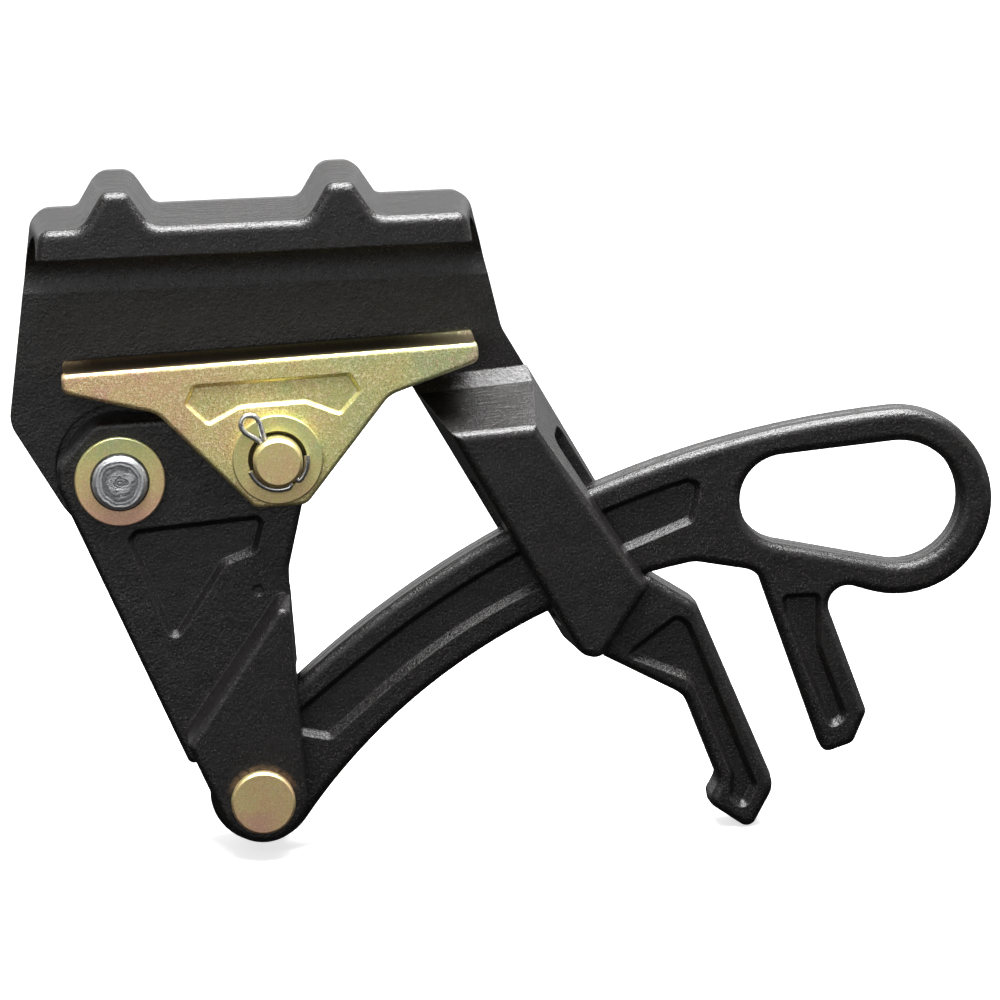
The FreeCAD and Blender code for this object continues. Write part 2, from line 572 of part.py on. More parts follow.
def lower_jaw():
    """Plated lower jaw: a bar with two walls that straddle the lever.  It is drawn about its pin
    with the gripping face level, and tilted into place."""
    piece = new_body("lower_jaw")
    half, face, bar = size("jaw_length") / 2, size("jaw_height"), size("jaw_bar")
    outside = size(JAW_OUTSIDE)
    outline = new_sketch(piece, "side_outline")
    side = [(half, face, 1.6), (half, face - bar + 0.4, 2.5), (32.4, face - 13, 8), (7.2, -13.9, 4)]
    draw_corners(outline, side + [(-x, z, radius) for x, z, radius in reversed(side)])
    pad_both_ways(piece, "blank", outline, "2 * (" + JAW_OUTSIDE + ")")
    for name, depth in (("front_edges", -outside), ("back_edges", outside)):
        fillet(piece, name, edges_where(piece, lambda edge: lies_at(edge, depth)), "lower_jaw_rounding")

    # Channel between the walls, for the lever.
    channel = new_sketch(piece, "channel_outline")
    roof = face - bar - 0.5
    draw_corners(channel, [(-half - 5, -30, 0), (-half - 5, roof, 0), (half + 5, roof, 0), (half + 5, -30, 0)])
    cut(piece, "channel", channel, "2 * (" + JAW_INSIDE + ")", both_ways=True)

    # Shallow groove that centres the cable on the gripping face.
    groove = new_sketch(piece, "groove_circle", role="YZ_Plane")
    draw_circle(groove, "jaw_groove_radius", "0", "jaw_height + jaw_groove_radius - jaw_groove_depth")
    cut(piece, "groove", groove, "jaw_length * 1.2", both_ways=True)

    # Panel recessed into the front wall above the pin's washer.
    panel = new_sketch(piece, "panel_outline", JAW_OUTSIDE)
    ring = size("washer_diameter / 2")
    edge = [(21.9, face - 5.6, 1.5), (24.8, face - 10.9, 1.5), (18.4, ring - 2.2, 2), (9, ring + 2.2, 4)]
    draw_corners(panel, edge + [(-x, z, radius) for x, z, radius in reversed(edge)])
    cut(piece, "panel", panel, "jaw_panel_recess", draft="panel_draft")

    # Hole for the jaw pin, with a counterbore that sinks the pin's head into the back wall.
    hole = new_sketch(piece, "pin_hole_circle")
    draw_circle(hole, "jaw_pin_diameter / 2 + pin_clearance")
    cut(piece, "pin_hole", hole, "200", both_ways=True)
    sink = new_sketch(piece, "head_sink_circle", "0 - (" + JAW_OUTSIDE + ")")
    draw_circle(sink, "jaw_pin_head / 2 + pin_clearance")
    cut(piece, "head_sink", sink, "jaw_pin_head_thickness", away=True)
    put(piece, JAW_PIN_X, JAW_PIN_Z, "jaw_tilt")
    return piece


# ---------------------------------------------------------------- pull shank


def pull_shank():
    """Curved pull bar with a round end for the pull pin, a web between rims, an oblong eye and
    a straight finger leg.  It is drawn about the pull pin."""
    piece = new_body("pull_shank")
    half = size("shank_thickness") / 2
    end, rim = size("shank_end_radius"), size("eye_radius + eye_rim")
    middle = guide_middle - pull_pin
    eye = middle + Vector(size("eye_reach"), size("eye_rise"), 0)
    pin = Vector()

    # The long sides are arcs through set places in the guide that touch the round ends.
    over, over_radius = touching_circle((middle - down_neck * 7, 0), (pin, -end), (eye, -rim))
    heel = eye + Vector(-60, -14.6, 0)
    under, under_radius = touching_circle((middle + down_neck * 20.5, 0), (heel, 0), (pin, end))
    heel_centre = heel + (under - heel).normalize() * 9
    outline = new_sketch(piece, "outline")
    draw_belt(outline, [
        (pin.x, pin.y, end),
        (over.x, over.y, over_radius),
        (eye.x, eye.y, rim),
        (eye.x - 14.9, eye.y - 29.1, -5.5),
        (eye.x - 13.3, eye.y - 60.4, 3),
        (eye.x - 16.3, eye.y - 67.2, 3),
        (eye.x - 21.3, eye.y - 69.3, 2.5),
        (eye.x - 45.2, eye.y - 23.1, -6),
        (heel_centre.x, heel_centre.y, -9),
        (under.x, under.y, -under_radius)])
    pad_both_ways(piece, "bar", outline, "shank_thickness")

    # Oblong eye, wider at its pull end.
    opening = new_sketch(piece, "eye_outline")
    draw_belt(opening, [(eye.x, eye.y, size("eye_radius")),
                        (eye.x - size("eye_heel_reach"), eye.y + 2.4, size("eye_heel_radius"))])
    cut(piece, "eye", opening, "100", both_ways=True)
    for name, depth in (("front_edges", -half), ("back_edges", half)):
        fillet(piece, name, edges_where(piece, lambda edge: lies_at(edge, depth)), "shank_rounding")

    # Web recessed between the rims, and a panel recessed into the finger leg, on both sides.
    # The web's sloping sides run between two belts, the deeper one smaller all round.
    inset = size("web_recess * tan(panel_draft * 1deg)")
    for name, face, away in (("front", "shank_thickness / 2", False), ("back", "0 - shank_thickness / 2", True)):
        belts = []
        for level, less, depth in (("edge", 0, face),
                                   ("floor", inset, face + (" + " if away else " - ") + "web_recess")):
            belt = new_sketch(piece, f"{name}_web_{level}", depth)
            draw_belt(belt, [
                (pin.x + 9.6, pin.y + 19.5, 2.6 - less),
                (over.x, over.y, over_radius - 6.4 - less),
                (eye.x - 58.8, eye.y + 7.3, 2.6 - less),
                (eye.x - 60.6, eye.y - 0.6, 2.6 - less),
                (under.x, under.y, -under_radius - 7.4 - less),
                (pin.x + 19.2, pin.y + 17.2, 2.6 - less)])
            belts.append(belt)
        before = tip_of(piece).Volume
        web = piece.newObject("PartDesign::SubtractiveLoft", name + "_web")
        web.Profile, web.Sections, web.Ruled = belts[0], [belts[1]], True
        doc.recompute()
        if web.Shape.Volume >= before:
            raise ValueError(name + "_web cuts nothing")
        depth = face
        leg = new_sketch(piece, name + "_leg_outline", depth)
        draw_corners(leg, [(eye.x - 34.5, eye.y - 24.6, 2.4), (eye.x - 22.5, eye.y - 24.6, 2.4),
                           (eye.x - 22.8, eye.y - 40.6, 5), (eye.x - 15.6, eye.y - 61.5, 2.8),
                           (eye.x - 21, eye.y - 65.8, 2.4), (eye.x - 33.6, eye.y - 30.4, 3)])
        cut(piece, name + "_leg", leg, "web_recess", away=away, draft="panel_draft")

    hole = new_sketch(piece, "pin_hole_circle")
    draw_circle(hole, "pull_pin_diameter / 2 + pin_clearance")
    cut(piece, "pin_hole", hole, "100", both_ways=True)
    put(piece, PULL_PIN_X, PULL_PIN_Z)
    return piece


# ---------------------------------------------------------------- pins and washers


def turned(label, profile):
    """Piece turned about the Y axis.  The profile is (radius, how far back), all formulas."""
    piece = new_body(label)
    drawing = new_sketch(piece, "profile", role="XY_Plane")
    points = [Vector(size(radius), size(depth), 0) for radius, depth in profile]
    for start, end in zip(points, points[1:] + points[:1]):
        drawing.addGeometry(Part.LineSegment(start, end), False)
    for index, (radius, depth) in enumerate(profile):
        for kind, formula in (("DistanceX", radius), ("DistanceY", depth)):
            if abs(size(formula)) > 1e-6:
                number = drawing.addConstraint(Sketcher.Constraint(kind, -1, 1, index, 1, size(formula)))
                drawing.setExpression(f"Constraints[{number}]", cell(formula))
    feature = piece.newObject("PartDesign::Revolution", "turning")
    feature.Profile = drawing
    feature.ReferenceAxis = (drawing, ["V_Axis"])
    feature.Angle = 360
    doc.recompute()
    return piece


def washer(label, bore, front):
    """Flat washer whose front face lies at the given depth."""
    end = f"{front} + washer_thickness"
    ease = "0.3"
    outside = "washer_diameter / 2"
    return turned(label, [(bore, front), (f"{outside} - {ease}", front), (outside, f"{front} + {ease}"),
                          (outside, f"{end} - {ease}"), (f"{outside} - {ease}", end), (bore, end)])


def pins_and_washers():
    """Rivet of the body pivot, clevis pin of the jaw and pin of the shank, with their washers."""
    rivet = "body_pin_diameter / 2"
    stack_front = "0 - lever_thickness / 2 - side_clearance - washer_thickness"
    body_rivet = turned("body_rivet", [
        ("0", f"{PLATE_BACK} + rivet_head_thickness"),
        ("rivet_head / 2 - 4", f"{PLATE_BACK} + rivet_head_thickness"),
        ("rivet_head / 2 - 1.2", f"{PLATE_BACK} + rivet_head_thickness - 1.6"),
        ("rivet_head / 2", f"{PLATE_BACK} + rivet_head_thickness - 4"),
        ("rivet_head / 2", PLATE_BACK),
        (rivet, PLATE_BACK),
        (rivet, stack_front),
        (f"{rivet} + peen_spread", stack_front),
        (f"{rivet} + peen_spread - 0.3", f"{stack_front} - 1.2"),
        (f"{rivet} - 1.2", f"{stack_front} - peen_height"),
        ("0", f"{stack_front} - peen_height")])
    jaw = "jaw_pin_diameter / 2"
    nose = f"0 - ({JAW_OUTSIDE}) - washer_thickness - jaw_pin_nose"
    jaw_clevis_pin = turned("jaw_clevis_pin", [
        ("0", JAW_OUTSIDE), ("jaw_pin_head / 2", JAW_OUTSIDE),
        ("jaw_pin_head / 2", f"{JAW_OUTSIDE} - jaw_pin_head_thickness"),
        (jaw, f"{JAW_OUTSIDE} - jaw_pin_head_thickness"),
        (jaw, f"{nose} + 0.9"), (f"{jaw} - 0.9", nose), ("0", nose)])
    drilling = new_sketch(jaw_clevis_pin, "cotter_hole_circle", role="XY_Plane")
    draw_circle(drilling, "cotter_diameter / 2 + pin_clearance", "0", COTTER_DEPTH)
    cut(jaw_clevis_pin, "cotter_hole", drilling, "100", both_ways=True)
    pull = "pull_pin_diameter / 2"
    back = f"{CHEEK_OUTSIDE} + washer_thickness"
    pull_pin_piece = turned("pull_pin", [
        ("0", f"{back} + peen_height"), (f"{pull} - 1.2", f"{back} + peen_height"),
        (f"{pull} + peen_spread - 0.3", f"{back} + 1.2"), (f"{pull} + peen_spread", back), (pull, back),
        (pull, f"0 - ({CHEEK_OUTSIDE})"), ("pull_pin_head / 2", f"0 - ({CHEEK_OUTSIDE})"),
        ("pull_pin_head / 2", f"0 - ({CHEEK_OUTSIDE}) - pull_pin_head_thickness + 0.6"),
        ("pull_pin_head / 2 - 0.6", f"0 - ({CHEEK_OUTSIDE}) - pull_pin_head_thickness"),
        ("0", f"0 - ({CHEEK_OUTSIDE}) - pull_pin_head_thickness")])
    body_washer = washer("body_rivet_washer", f"{rivet} + pin_clearance", stack_front)
    jaw_washer = washer("jaw_pin_washer", "jaw_washer_bore / 2", f"0 - ({JAW_OUTSIDE}) - washer_thickness")
    pull_washer = washer("pull_pin_washer", f"{pull} + pin_clearance", CHEEK_OUTSIDE)
    for piece in (body_rivet, body_washer):
        put(piece, "pivot_x", "pivot_z")
    for piece in (jaw_clevis_pin, jaw_washer):
        put(piece, JAW_PIN_X, JAW_PIN_Z, "cotter_turn" if piece is jaw_clevis_pin else "0")
    for piece in (pull_pin_piece, pull_washer):
        put(piece, PULL_PIN_X, PULL_PIN_Z)
    return [body_rivet, body_washer, jaw_clevis_pin, jaw_washer, pull_pin_piece, pull_washer]


# ---------------------------------------------------------------- cotter pin


def cotter_pin():
    """Cotter pin through the nose of the clevis pin: a loop at one side, and two legs bent
    round the clevis pin at the other.  It is drawn with its hole along Z."""
    piece = new_body("cotter_pin")
    pin, wire = size("jaw_pin_diameter / 2"), size("cotter_wire")
    stem = new_sketch(piece, "stem_circle", "0 - jaw_pin_diameter / 2 - cotter_wire", "XY_Plane", COTTER_DEPTH)
    draw_circle(stem, "cotter_diameter / 2")
    pad(piece, "stem", stem, "jaw_pin_diameter + cotter_wire + 1")

    loop_half = size("cotter_loop_width / 2")
    top = pin + size("cotter_loop_length") - loop_half
    loop = new_sketch(piece, "loop_outline", "0 - (" + COTTER_DEPTH + ")")
    draw_belt(loop, [(0, pin + 1.8, size("cotter_diameter / 2")), (0, top, loop_half)])
    pad_both_ways(piece, "loop", loop, "cotter_wire")
    opening = new_sketch(piece, "loop_opening", "0 - (" + COTTER_DEPTH + ")")
    draw_belt(opening, [(0, pin + 2.6, 0.3), (0, top, loop_half - wire)])
    cut(piece, "loop_hole", opening, "cotter_wire * 2", both_ways=True)

    inside = pin + 0.4
    for name, first, last in (("short_leg", -84, -24), ("long_leg", -96, -198)):
        leg = new_sketch(piece, name + "_outline", "0 - (" + COTTER_DEPTH + ")")
        rays = [Vector(math.cos(math.radians(angle)), math.sin(math.radians(angle)), 0)
                for angle in (first, (first + last) / 2, last)]
        start, middle, end = rays
        outside = inside + wire
        leg.addGeometry(Part.Arc(start * inside, middle * inside, end * inside), False)
        leg.addGeometry(Part.LineSegment(end * inside, end * outside), False)
        leg.addGeometry(Part.Arc(end * outside, middle * outside, start * outside), False)
        leg.addGeometry(Part.LineSegment(start * outside, start * inside), False)
        pad_both_ways(piece, name, leg, "cotter_wire")
    put(piece, JAW_PIN_X, JAW_PIN_Z, "cotter_turn")
    return piece


# ---------------------------------------------------------------- build, test and write

pieces = [body_forging(), lever(), lower_jaw(), pull_shank()] + pins_and_washers() + [cotter_pin()]
doc.recompute()

for thing in doc.Objects:
    if "Invalid" in thing.State or "Error" in thing.State:
        raise ValueError(f"{thing.Name} failed: {thing.State}")
for piece in pieces:
    if piece.Shape.isNull() or not piece.Shape.isValid() or len(piece.Shape.Solids) != 1:
        raise ValueError(f"{piece.Label} is not one valid solid")

os.makedirs("parts", exist_ok=True)
for piece in pieces:
    piece.Shape.exportStep(f"parts/{piece.Label}.step")
    print(piece.Label, round(piece.Shape.Volume), piece.Shape.BoundBox)
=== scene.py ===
import json
import math
import bmesh
import bpy
from mathutils import Matrix, Vector


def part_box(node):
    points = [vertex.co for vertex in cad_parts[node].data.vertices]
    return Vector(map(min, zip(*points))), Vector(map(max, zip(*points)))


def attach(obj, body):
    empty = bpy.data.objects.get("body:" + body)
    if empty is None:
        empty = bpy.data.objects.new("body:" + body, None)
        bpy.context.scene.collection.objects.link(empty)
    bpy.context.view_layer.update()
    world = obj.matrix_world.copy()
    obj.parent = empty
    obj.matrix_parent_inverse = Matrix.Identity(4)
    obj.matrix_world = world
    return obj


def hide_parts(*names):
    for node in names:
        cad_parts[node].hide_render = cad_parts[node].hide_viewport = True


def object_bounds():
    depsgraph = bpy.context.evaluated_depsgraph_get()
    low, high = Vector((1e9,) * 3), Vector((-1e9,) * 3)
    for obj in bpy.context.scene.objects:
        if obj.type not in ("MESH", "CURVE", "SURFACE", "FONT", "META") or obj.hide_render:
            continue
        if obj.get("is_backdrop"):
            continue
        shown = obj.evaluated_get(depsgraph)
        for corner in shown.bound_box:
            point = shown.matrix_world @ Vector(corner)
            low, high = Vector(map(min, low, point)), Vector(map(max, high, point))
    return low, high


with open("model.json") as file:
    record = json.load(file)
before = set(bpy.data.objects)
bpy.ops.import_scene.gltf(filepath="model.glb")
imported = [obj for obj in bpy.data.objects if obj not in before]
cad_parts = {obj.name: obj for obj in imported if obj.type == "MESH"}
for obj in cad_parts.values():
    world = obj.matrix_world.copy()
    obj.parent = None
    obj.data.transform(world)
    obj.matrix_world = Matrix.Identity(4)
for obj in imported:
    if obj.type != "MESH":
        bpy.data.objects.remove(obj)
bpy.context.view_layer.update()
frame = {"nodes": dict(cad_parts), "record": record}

node = frame["nodes"]
joint = {each["name"]: each for each in frame["record"]["behaviour"]["joints"]}

# ------------------------------------------------------------------ forged body
# One drop forging in medium carbon steel: upper jaw, back plate, neck, guide and finger hook.
# It is shot-blasted and sprayed with a semi-gloss black enamel that keeps the forging's skin
# visible as a fine orange peel, with a trimmed flash line where the two dies met.


class Wire:
    """An output of a shader node, on which shader maths is written as Python."""

    def __init__(self, socket):
        self.socket = socket
        self.tree = socket.id_data

    def node(self, kind, settings, inputs, output=0):
        """Any other node: its settings are set first, and then its inputs, as values or links."""
        made = self.tree.nodes.new("ShaderNode" + kind)
        stops = settings.pop("stops", None)
        for name, value in settings.items():
            setattr(made, name, value)
        if stops:
            while len(made.color_ramp.elements) < len(stops):
                made.color_ramp.elements.new(1.0)
            for element, (position, colour) in zip(made.color_ramp.elements, stops):
                element.position = position
                element.color = (*colour, 1.0)
        for name, value in inputs.items():
            if isinstance(value, Wire):
                self.tree.links.new(value.socket, made.inputs[name])
            else:
                made.inputs[name].default_value = value
        return Wire(made.outputs[output])

    def maths(self, operation, first, second):
        return self.node("Math", {"operation": operation}, {0: first, 1: second})

    def __add__(self, other):
        return self.maths("ADD", self, other)

    def __sub__(self, other):
        return self.maths("SUBTRACT", self, other)

    def __rsub__(self, other):
        return self.maths("SUBTRACT", other, self)

    def __mul__(self, other):
        return self.maths("MULTIPLY", self, other)

    def __truediv__(self, other):
        return self.maths("DIVIDE", self, other)

    __radd__ = __add__
    __rmul__ = __mul__

    def part(self, axis):
        """One coordinate of a vector, as a number."""
        return self.node("SeparateXYZ", {}, {"Vector": self}, "XYZ".index(axis))

    def noise(self, grain, detail=2.0, roughness=0.5):
        """Noise from 0 to 1 whose features are about one grain across, in metres."""
        return self.node("TexNoise", {}, {"Vector": self, "Scale": 1.0 / grain, "Detail": detail,
                                          "Roughness": roughness})

    def wave(self, period):
        """Wave from 0 to 1 of a distance, with the given period."""
        turn = self * (2 * math.pi / period)
        return turn.node("Math", {"operation": "SINE"}, {0: turn}) * 0.5 + 0.5

    def step(self, low, high):
        """0 below low and 1 above high, smooth in between."""
        return self.node("MapRange", {"interpolation_type": "SMOOTHSTEP"},
                         {"Value": self, "From Min": low, "From Max": high})

    def mixed(self, first, second):
        """Colour that goes from the first to the second as this number goes from 0 to 1."""
        colours = [each if isinstance(each, Wire) else (*each, 1.0) for each in (first, second)]
        return self.node("Mix", {"data_type": "RGBA"}, {0: self, 6: colours[0], 7: colours[1]}, 2)

    def ramp(self, stops):
        return self.node("ValToRGB", {"stops": stops}, {"Fac": self})

    def bump(self, depth, normal):
        """Relief of the given depth in metres, over another normal."""
        return self.node("Bump", {}, {"Height": self, "Distance": depth, "Strength": 1.0, "Normal": normal})


def new_material(name):
    """Material with one Principled shader, and its Object coordinates."""
    material = bpy.data.materials.new(name)
    material.use_nodes = True
    tree = material.node_tree
    tree.nodes.clear()
    shader = tree.nodes.new("ShaderNodeBsdfPrincipled")
    output = tree.nodes.new("ShaderNodeOutputMaterial")
    tree.links.new(shader.outputs["BSDF"], output.inputs["Surface"])
    place = Wire(tree.nodes.new("ShaderNodeTexCoord").outputs["Object"])
    return material, shader, place


def feed(shader, **inputs):
    """Links or sets inputs of the shader, whose names are given with _ for a space."""
    for name, value in inputs.items():
        socket = shader.inputs[name.replace("_", " ")]
        if isinstance(value, Wire):
            value.tree.links.new(value.socket, socket)
        else:
            socket.default_value = value


def softened(place, radius):
    """Normal that rounds sharp edges, and how far it turns from the true one near them."""
    soft = place.node("Bevel", {"samples": 6}, {"Radius": radius})
    true = place.node("NewGeometry", {}, {}, "Normal")
    agreement = place.node("VectorMath", {"operation": "DOT_PRODUCT"}, {0: soft, 1: true}, "Value")
    return soft, (1.0 - agreement).step(0.01, 0.16)


def reach_from(place, axis):
    """Distance of each point from a pin's axis, which lies along Y."""
    away = place.node("VectorMath", {"operation": "SUBTRACT"}, {0: place, 1: axis})
    flat = away.node("VectorMath", {"operation": "MULTIPLY"}, {0: away, 1: (1.0, 0.0, 1.0)})
    return flat.node("VectorMath", {"operation": "LENGTH"}, {0: flat}, "Value")


def black_enamel(name, parting=None):
    """Sprayed black enamel over a forged skin, with a flash line where y = parting."""
    material, shader, place = new_material(name)
    soft, edge = softened(place, 0.0007)
    peel = place.noise(0.0008, 2.0, 0.5)
    grain = place.noise(0.00034, 2.0, 0.65)
    swell = place.noise(0.009, 2.0)
    painted_glints = place.noise(0.0005, 1.0).step(0.60, 0.68)
    dust = place.noise(0.0022, 4.0, 0.7).step(0.52, 0.8)
    coat = swell.mixed((0.0046, 0.0044, 0.0048), (0.0088, 0.0080, 0.0076))
    coat = (dust * 0.5).mixed(coat, (0.022, 0.017, 0.015))
    # Pale grey specks painted into the enamel's colour are painted glints of the lamps on its grain.
    coat = (painted_glints * 0.2).mixed(coat, (0.10, 0.092, 0.088))
    # A lighter colour painted along the sharp edges is a painted highlight.
    coat = (edge * 0.4).mixed(coat, (0.034, 0.031, 0.029))

    # Trimming the flash draws fine lines along the sides of the forging, round its outline.
    facing = place.node("TexCoord", {}, {}, "Normal").part("Y")
    side = 1.0 - facing.node("Math", {"operation": "ABSOLUTE"}, {0: facing}).step(0.2, 0.5)
    drawn_out = place.node("VectorMath", {"operation": "MULTIPLY"}, {0: place, 1: (0.06, 1.0, 0.06)})
    height = peel * 0.6 + grain * 0.5 + swell * 0.9 + side * drawn_out.noise(0.0011, 2.0) * 0.9
    if parting is not None:
        away = place.part("Y") - parting
        line = 1.0 - away.node("Math", {"operation": "ABSOLUTE"}, {0: away}).step(0.0004, 0.0010)
        height = height + line * place.noise(0.003, 3.0) * 2.4
    feed(shader, Base_Color=coat, Roughness=0.15 + peel * 0.12, Normal=height.bump(0.00028, soft))
    shader.inputs["Specular IOR Level"].default_value = 0.5
    return material, shader, coat, place


body_enamel, *_ = black_enamel("black_enamel_body")
node["body_forging"].data.materials.clear()
node["body_forging"].data.materials.append(body_enamel)

# ------------------------------------------------------------------ lever
# Three-cornered drop forging between the jaw and the pull shank, with a forked lower end.
# Same enamel as the body; the turning pull-pin head has rubbed a brown ring above itself.

lever_enamel, lever_shader, lever_coat, lever_place = black_enamel("black_enamel_lever", 0.0)
pull_pin_axis = Vector(joint["shank_swing"]["pos_m"])
pin_head_radius = 0.009
reach = reach_from(lever_place, pull_pin_axis)
above = lever_place.part("Z").step(pull_pin_axis.z + 0.001, pull_pin_axis.z + 0.007)
rubbed = (1.0 - reach.step(pin_head_radius + 0.0006, pin_head_radius + 0.0022)) * above
rubbed = rubbed * lever_place.noise(0.0012, 3.0).step(0.3, 0.62)
feed(lever_shader, Base_Color=rubbed.mixed(lever_coat, (0.085, 0.05, 0.028)))
node["lever"].data.materials.clear()
node["lever"].data.materials.append(lever_enamel)

# ------------------------------------------------------------------ pull shank
# Curved forged bar with an eye for the hoist's hook and a straight finger leg.  Enamelled like
# the body; it slides through the guide on its two long edges.

shank_enamel, *_ = black_enamel("black_enamel_shank", 0.0)
node["pull_shank"].data.materials.clear()
node["pull_shank"].data.materials.append(shank_enamel)

# ------------------------------------------------------------------ lower jaw
# Investment-cast jaw in yellow zinc dichromate.  The film is iridescent: peach and gold at one
# end and greenish at the other; its edges are olive brown, and the gripping groove is painted
# dark as painted shade and a painted reflection of the black upper jaw above it.


def zinc_dichromate(name, tint, grain_depth, edge_radius, mottle):
    """Yellow zinc dichromate; tint is a number from 0, peach, to 1, green, over the surface."""
    material, shader, place = new_material(name)
    soft, edge = softened(place, edge_radius)
    cloud = place.noise(0.010, 4.0, 0.62)
    fine = place.noise(0.00033, 2.0, 0.6)
    coarse = place.noise(0.0008, 2.0, 0.5)
    pink = place.noise(0.0021, 3.0, 0.6).step(0.52, 0.70)
    film = (tint(place) + cloud * 1.1 - 0.55).ramp([
        (0.0, (0.84, 0.50, 0.36)), (0.22, (0.86, 0.62, 0.33)), (0.45, (0.82, 0.71, 0.32)),
        (0.65, (0.70, 0.70, 0.30)), (0.85, (0.56, 0.64, 0.33)), (1.0, (0.72, 0.60, 0.42))])
    film = (pink * 0.3).mixed(film, (0.86, 0.50, 0.40))
    film = (fine.step(0.46, 0.64) * 0.75 * mottle).mixed(film, (0.30, 0.21, 0.06))
    # Pale yellow specks over the film are partly the plating's own grain and partly painted glints.
    film = (coarse.step(0.54, 0.66) * 0.65 * mottle).mixed(film, (1.0, 0.93, 0.62))
    film = (edge * 0.75).mixed(film, (0.16, 0.125, 0.05))
    height = fine * 0.7 + coarse * 0.5
    feed(shader, Base_Color=film, Metallic=0.92, Roughness=0.34 + fine * 0.16 + cloud * 0.06,
         Normal=height.bump(grain_depth, soft))
    return material, shader, film, place


jaw_low, jaw_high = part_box("lower_jaw")
jaw_length = jaw_high.x - jaw_low.x


def lengthwise_tint(place):
    """Tint of the jaw, from peach at its rear end to green at its pull end."""
    return (place.part("X") - jaw_low.x) / jaw_length * 0.75 + 0.12


jaw_zinc, jaw_shader, jaw_film, jaw_place = zinc_dichromate(
    "yellow_zinc_jaw", lengthwise_tint, grain_depth=0.00020, edge_radius=0.0006, mottle=1.0)
# The upward faces at the jaw's top, under the black upper jaw, are painted mottled dark brown as painted
# shade and a painted reflection of the black above.
up = jaw_place.node("TexCoord", {}, {}, "Normal").part("Z")
face = up.step(0.86, 0.97) * (jaw_place.part("Z").step(jaw_high.z - 0.009, jaw_high.z - 0.006))
shade_mottle = jaw_place.noise(0.004, 4.0, 0.65)
dark = shade_mottle.mixed((0.040, 0.028, 0.018), (0.105, 0.075, 0.045))
film = (face * 0.93).mixed(jaw_film, dark)

# The narrow gap between the clevis pin and its loose washer is painted shade: the jaw's face inside it is
# painted near black.
jaw_axis = Vector(joint["jaw_tilt"]["pos_m"])
pin_gap_shade = 1.0 - reach_from(jaw_place, jaw_axis).step(0.0081, 0.0085)
feed(jaw_shader, Base_Color=(pin_gap_shade * 0.95).mixed(film, (0.02, 0.017, 0.012)))
node["lower_jaw"].data.materials.clear()
node["lower_jaw"].data.materials.append(jaw_zinc)

# ------------------------------------------------------------------ plated washers and pins
# Turned and stamped hardware with the same film, smoother than the jaw.  Each piece's tint runs
# from its bottom to its top.  The pivot's washer goes from green-gold above to peach below, a
# painted reflection of dark surroundings above it, and the jaw pin's washer is yellow-green.


def upright_tint(name, low_end, high_end):
    """Tint that runs from one value at the bottom of a node to another at its top."""
    low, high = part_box(name)
    height = high.z - low.z
    return lambda place: (place.part("Z") - low.z) / height * (high_end - low_end) + low_end


# On the pivot's washer the darker green-gold top and peach bottom are a painted reflection.
for piece, low_end, high_end in (("body_rivet_washer", -0.05, 0.72), ("jaw_pin_washer", 0.40, 0.72),
                                 ("jaw_clevis_pin", 0.25, 0.50), ("pull_pin", 0.02, 0.42),
                                 ("pull_pin_washer", 0.2, 0.6)):
    plating, *_ = zinc_dichromate("yellow_zinc_" + piece, upright_tint(piece, low_end, high_end),
                                  grain_depth=0.00006, edge_radius=0.0003, mottle=0.45)
    node[piece].data.materials.clear()
    node[piece].data.materials.append(plating)

# ------------------------------------------------------------------ pivot rivet
# Carbon steel rivet, headed behind the body and peened over the front washer.  The hammered
# end is bare, dull and dark, with uneven rings left by the riveting tool.

rivet_steel, rivet_shader, rivet_place = new_material("peened_steel")
pivot = Vector(joint["lever_swing"]["pos_m"])
wobble = rivet_place.noise(0.0045, 3.0, 0.55)
reach = reach_from(rivet_place, pivot)
inner = 1.0 - reach.step(0.002, 0.005)
rings = (reach + wobble * (0.0016 + inner * 0.006)).wave(0.0010)
broad = (reach + wobble * 0.006).wave(0.0043)
scuff = rivet_place.noise(0.0006, 4.0, 0.7)
steel = (rings * 0.22 + broad * 0.3 + scuff * 0.75 - 0.12).ramp([
    (0.0, (0.05, 0.05, 0.055)), (0.40, (0.22, 0.225, 0.235)),
    (0.75, (0.44, 0.445, 0.455)), (1.0, (0.7, 0.7, 0.7))])
# Beyond 7.55 mm from the axis the rivet is painted near black, as painted shade for a gap between its
# peened end and the washer.
rivet_gap_shade = reach.step(0.00755, 0.0079)
steel = (rivet_gap_shade * 0.9).mixed(steel, (0.012, 0.012, 0.012))
soft, _ = softened(rivet_place, 0.0008)
feed(rivet_shader, Base_Color=steel, Metallic=0.85, Roughness=0.38 + scuff * 0.25,
     Normal=(rings * 0.45 + broad * 0.5 + scuff * 0.7).bump(0.00016, soft))
node["body_rivet"].data.materials.clear()
node["body_rivet"].data.materials.append(rivet_steel)

# ------------------------------------------------------------------ cotter pin
# Steel wire folded on itself: two legs go through the clevis pin side by side and bend round
# it, and the fold is a small eye that stands out above.  It is drawn about the pin's axis.

cotter_low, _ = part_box("cotter_pin")
wire = 0.00082
pin_radius = 0.0069
cotter_y = cotter_low.y + 0.0015


def round_wire(name, route, radius):
    """Round wire along a route of points, each (across, depth, along) the cotter's own axis."""
    curve = bpy.data.curves.new(name, "CURVE")
    curve.dimensions = "3D"
    curve.bevel_depth = radius
    curve.bevel_resolution = 5
    curve.use_fill_caps = True
    curve.resolution_u = 10
    line = curve.splines.new("NURBS")
    line.points.add(len(route) - 1)
    for point, (across, depth, along) in zip(line.points, route):
        point.co = (across, depth, along, 1.0)
    line.order_u = 4
    line.use_endpoint_u = True
    piece = bpy.data.objects.new(name, curve)
    bpy.context.scene.collection.objects.link(piece)
    return piece


def hugging(first, last, out, depth):
    """Points round the clevis pin, from one angle to another in degrees."""
    count = 9
    turns = [math.radians(first + (last - first) * step / (count - 1)) for step in range(count)]
    return [(math.cos(turn) * out, depth, math.sin(turn) * out) for turn in turns]


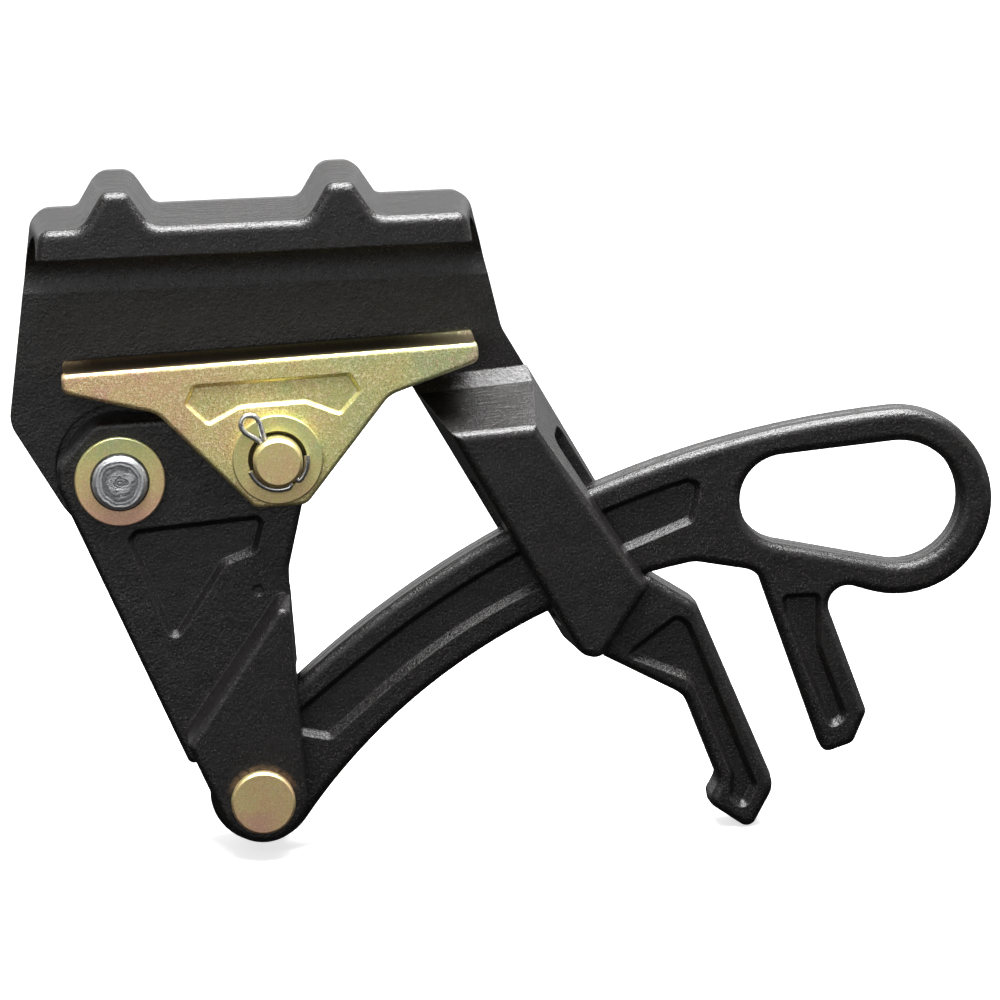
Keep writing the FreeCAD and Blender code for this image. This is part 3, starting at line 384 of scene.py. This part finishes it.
eye_half, eye_top = 0.0024, pin_radius + 0.0078
half_gap = wire * 0.95
left_run = [(-half_gap, 0, -pin_radius), (-half_gap, 0, 0), (-half_gap, 0, pin_radius),
            (-half_gap, 0, pin_radius + 0.0010), (-eye_half * 0.8, 0, pin_radius + 0.0034),
            (-eye_half * 1.15, 0, pin_radius + 0.0058),
            (-eye_half * 0.9, 0, eye_top), (0, 0, eye_top + 0.0012)]
right_run = [(-across, depth, along) for across, depth, along in reversed(left_run[:-1])]
leg_radius = 0.0081
long_leg = list(reversed(hugging(-100, -196, leg_radius, -0.0001)))
short_leg = hugging(-80, -26, leg_radius, 0.0001)
route = long_leg + left_run + right_run + short_leg
cotter = round_wire("cotter_pin_wire", route, wire)
turn_from_upright = math.radians(34.0)
turned = Matrix.Rotation(-turn_from_upright, 4, "Y")
cotter.data.transform(Matrix.Translation((jaw_axis.x, cotter_y, jaw_axis.z)) @ turned)
bright, bright_shader, bright_place = new_material("bright_wire")
drawn = bright_place.noise(0.0006, 3.0, 0.6)
feed(bright_shader, Base_Color=drawn.mixed((0.52, 0.52, 0.51), (0.80, 0.80, 0.79)), Metallic=1.0,
     Roughness=0.20 + drawn * 0.18)
cotter.data.materials.append(bright)
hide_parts("cotter_pin")
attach(cotter, "lower_jaw")

# ------------------------------------------------------------------ floor, light and camera
# A plain pale floor under the grip, one large soft light above, one in front and a faint one
# from the side, as for a catalogue.

lowest, highest = (Vector(corner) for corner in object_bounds())
middle = (lowest + highest) / 2

floor_mesh = bpy.data.meshes.new("floor")
sheet = bmesh.new()
bmesh.ops.create_grid(sheet, x_segments=1, y_segments=1, size=12.0)
bmesh.ops.translate(sheet, verts=sheet.verts, vec=(0, 0, lowest.z))
sheet.to_mesh(floor_mesh)
sheet.free()
floor = bpy.data.objects.new("floor", floor_mesh)
bpy.context.scene.collection.objects.link(floor)
pale, pale_shader, _ = new_material("pale_floor")
feed(pale_shader, Base_Color=(0.78, 0.78, 0.78, 1.0), Roughness=0.9, Emission_Color=(1.0, 1.0, 1.0, 1.0),
     Emission_Strength=0.62)
floor_mesh.materials.append(pale)
floor.visible_glossy = False
floor.visible_diffuse = False
floor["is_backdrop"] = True

# The studio is lighter behind and above than in front, and dark below.
world = bpy.data.worlds.new("studio")
world.use_nodes = True
background = world.node_tree.nodes["Background"]
background.inputs["Color"].default_value = (1.0, 1.0, 1.0, 1.0)
heading = Wire(world.node_tree.nodes.new("ShaderNodeTexCoord").outputs["Generated"])
behind = heading.part("Y").step(0.1, 0.95)
sky = (0.26 + behind * 0.62) * heading.part("Z").step(-0.12, 0.02) + 0.03
world.node_tree.links.new(sky.socket, background.inputs["Strength"])
bpy.context.scene.world = world


def soft_light(name, place, width, height, power):
    """Rectangular lamp at a place beside the grip's middle, aimed at that middle."""
    lamp = bpy.data.lights.new(name, "AREA")
    lamp.shape = "RECTANGLE"
    lamp.size, lamp.size_y, lamp.energy = width, height, power
    holder = bpy.data.objects.new(name, lamp)
    bpy.context.scene.collection.objects.link(holder)
    offset = Vector(place)
    holder.location = middle + offset
    holder.rotation_euler = (-offset).to_track_quat("-Z", "Y").to_euler()


soft_light("top_light", (0.05, -0.10, 0.85), 0.95, 0.5, 46.0)
soft_light("front_light", (-0.5, -1.5, 0.5), 1.4, 1.0, 8.0)
soft_light("side_light", (1.2, -0.6, 0.3), 0.5, 0.9, 2.5)

bearing, rise, roll, distance = math.radians(-4.0), math.radians(12.0), math.radians(2.0), 1.3
aim = middle + Vector((-0.0015, -middle.y, 0.0006))
back = Vector((math.sin(bearing) * math.cos(rise), -math.cos(bearing) * math.cos(rise), math.sin(rise)))
right = Vector((math.cos(bearing), math.sin(bearing), 0.0))
over = back.cross(right)
across = right * math.cos(roll) - over * math.sin(roll)
upward = right * math.sin(roll) + over * math.cos(roll)
camera = bpy.data.objects.new("camera", bpy.data.cameras.new("camera"))
camera.data.sensor_width = 36.0
camera.data.lens = 36.0 * distance / 0.282
camera.data.clip_end = 50.0
camera.matrix_world = Matrix.Translation(aim + back * distance) @ Matrix(
    (across, upward, back)).transposed().to_4x4()
bpy.context.scene.collection.objects.link(camera)
bpy.context.scene.camera = camera
bpy.context.scene.view_settings.view_transform = "Standard"
